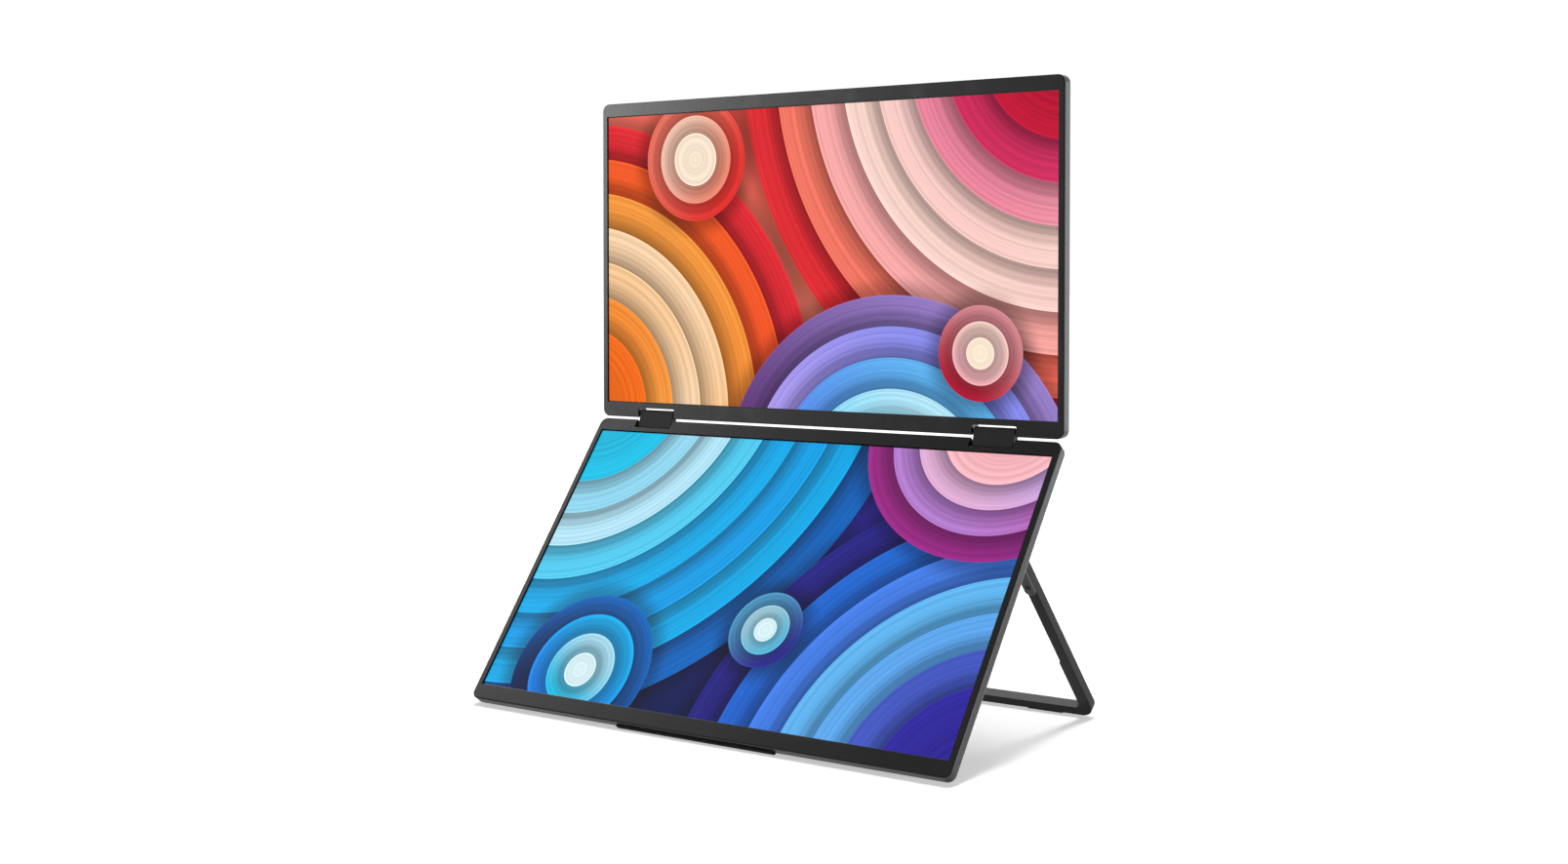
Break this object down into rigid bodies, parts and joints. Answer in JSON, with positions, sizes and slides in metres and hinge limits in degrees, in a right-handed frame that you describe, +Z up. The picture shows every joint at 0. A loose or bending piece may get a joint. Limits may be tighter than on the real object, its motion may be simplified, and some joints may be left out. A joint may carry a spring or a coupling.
{
  "type": "dual-screen portable monitor",
  "caption": "Thin upper and lower displays joined edge to edge by friction hinge links, standing on a folding U-shaped kickstand and a rubber foot strip.",
  "frame": {"origin": "on the floor, in the middle of the box around the part", "axes": "+X to the viewer's right along the hinge axes, +Y to the back, +Z up"},
  "size_m": [0.353, 0.2016, 0.3905],
  "materials": {
    "bezel_plastic": "satin charcoal moulding",
    "case_shell": "satin charcoal moulding",
    "housing_plastic": "fine textured black moulding",
    "lcd_glass": "dark satin glass cell",
    "diffuser_film": "white film",
    "guide_acrylic": "clear acrylic",
    "tray_metal": "bare sheet",
    "led_board": "white solder mask",
    "circuit_board": "green solder mask",
    "flex_film": "amber film",
    "bracket_steel": "stamped steel",
    "shaft_steel": "ground steel",
    "screw_steel": "black zinc",
    "link_metal": "matt black coat",
    "stand_metal": "dark anodised",
    "stand_hinge_metal": "dark coat",
    "foot_rubber": "matt black rubber",
    "inlet_metal": "nickel-plated shell",
    "button_plastic": "satin charcoal moulding"
  },
  "bodies": {
    "lower_display": {"lower_front_bezel": "bezel_plastic", "lower_lcd_panel": "lcd_glass", "lower_optical_films": "diffuser_film", "lower_light_guide": "guide_acrylic", "lower_backlight_tray": "tray_metal", "lower_led_bar": "led_board", "lower_driver_board": "circuit_board", "lower_panel_flex": "flex_film", "lower_hinge_screws": "screw_steel", "lower_hinge_bracket_left": "bracket_steel", "lower_hinge_shaft_left": "shaft_steel", "lower_hinge_bracket_right": "bracket_steel", "lower_hinge_shaft_right": "shaft_steel", "lower_back_cover": "case_shell", "front_foot_strip": "foot_rubber", "rear_housing": "housing_plastic", "rear_housing_screws": "screw_steel", "main_board": "circuit_board", "main_board_screws": "screw_steel", "usb_c_sockets": "inlet_metal", "lower_display_cable": "flex_film", "button_board": "circuit_board", "stand_pin_left": "shaft_steel", "stand_hinge_base_left": "stand_hinge_metal", "stand_pin_right": "shaft_steel", "stand_hinge_base_right": "stand_hinge_metal", "stand_base_screws": "screw_steel"},
    "hinge_links": {"hinge_link_left": "link_metal", "hinge_clamp_left": "link_metal", "hinge_link_right": "link_metal", "hinge_clamp_right": "link_metal", "hinge_link_screws": "screw_steel"},
    "upper_display": {"upper_front_bezel": "bezel_plastic", "upper_lcd_panel": "lcd_glass", "upper_optical_films": "diffuser_film", "upper_light_guide": "guide_acrylic", "upper_backlight_tray": "tray_metal", "upper_led_bar": "led_board", "upper_driver_board": "circuit_board", "upper_panel_flex": "flex_film", "upper_hinge_screws": "screw_steel", "upper_hinge_bracket_left": "bracket_steel", "upper_hinge_shaft_left": "shaft_steel", "upper_hinge_bracket_right": "bracket_steel", "upper_hinge_shaft_right": "shaft_steel", "upper_back_cover": "case_shell"},
    "kickstand": {"kickstand_frame": "stand_metal", "stand_foot_pads": "foot_rubber", "stand_hinge_leaf_left": "stand_hinge_metal", "stand_hinge_leaf_right": "stand_hinge_metal", "stand_leaf_screws": "screw_steel"},
    "power_button": {"power_button": "button_plastic"},
    "menu_up_button": {"menu_up_button": "button_plastic"},
    "menu_down_button": {"menu_down_button": "button_plastic"}
  },
  "joints": [
    {"name": "hinge_lower", "type": "hinge", "parent": "lower_display", "child": "hinge_links", "pos_m": [0, 0.02915, 0.17203], "axis": [1, 0, 0], "range_deg": [-41, 69]},
    {"name": "hinge_upper", "type": "hinge", "parent": "hinge_links", "child": "upper_display", "pos_m": [0, 0.03135, 0.17972], "axis": [1, 0, 0], "range_deg": [-36, 74]},
    {"name": "stand_pivot", "type": "hinge", "parent": "lower_display", "child": "kickstand", "pos_m": [0, -0.00017, 0.11501], "axis": [1, 0, 0], "range_deg": [-78.26, 16.74]},
    {"name": "power_button_press", "type": "slide", "parent": "lower_display", "child": "power_button", "axis": [-1, 0, 0], "range_m": [0, 0.0005], "stiffness_N_per_m": 1500},
    {"name": "menu_up_button_press", "type": "slide", "parent": "lower_display", "child": "menu_up_button", "axis": [-1, 0, 0], "range_m": [0, 0.0005], "stiffness_N_per_m": 1500},
    {"name": "menu_down_button_press", "type": "slide", "parent": "lower_display", "child": "menu_down_button", "axis": [-1, 0, 0], "range_m": [0, 0.0005], "stiffness_N_per_m": 1500}
  ]
}
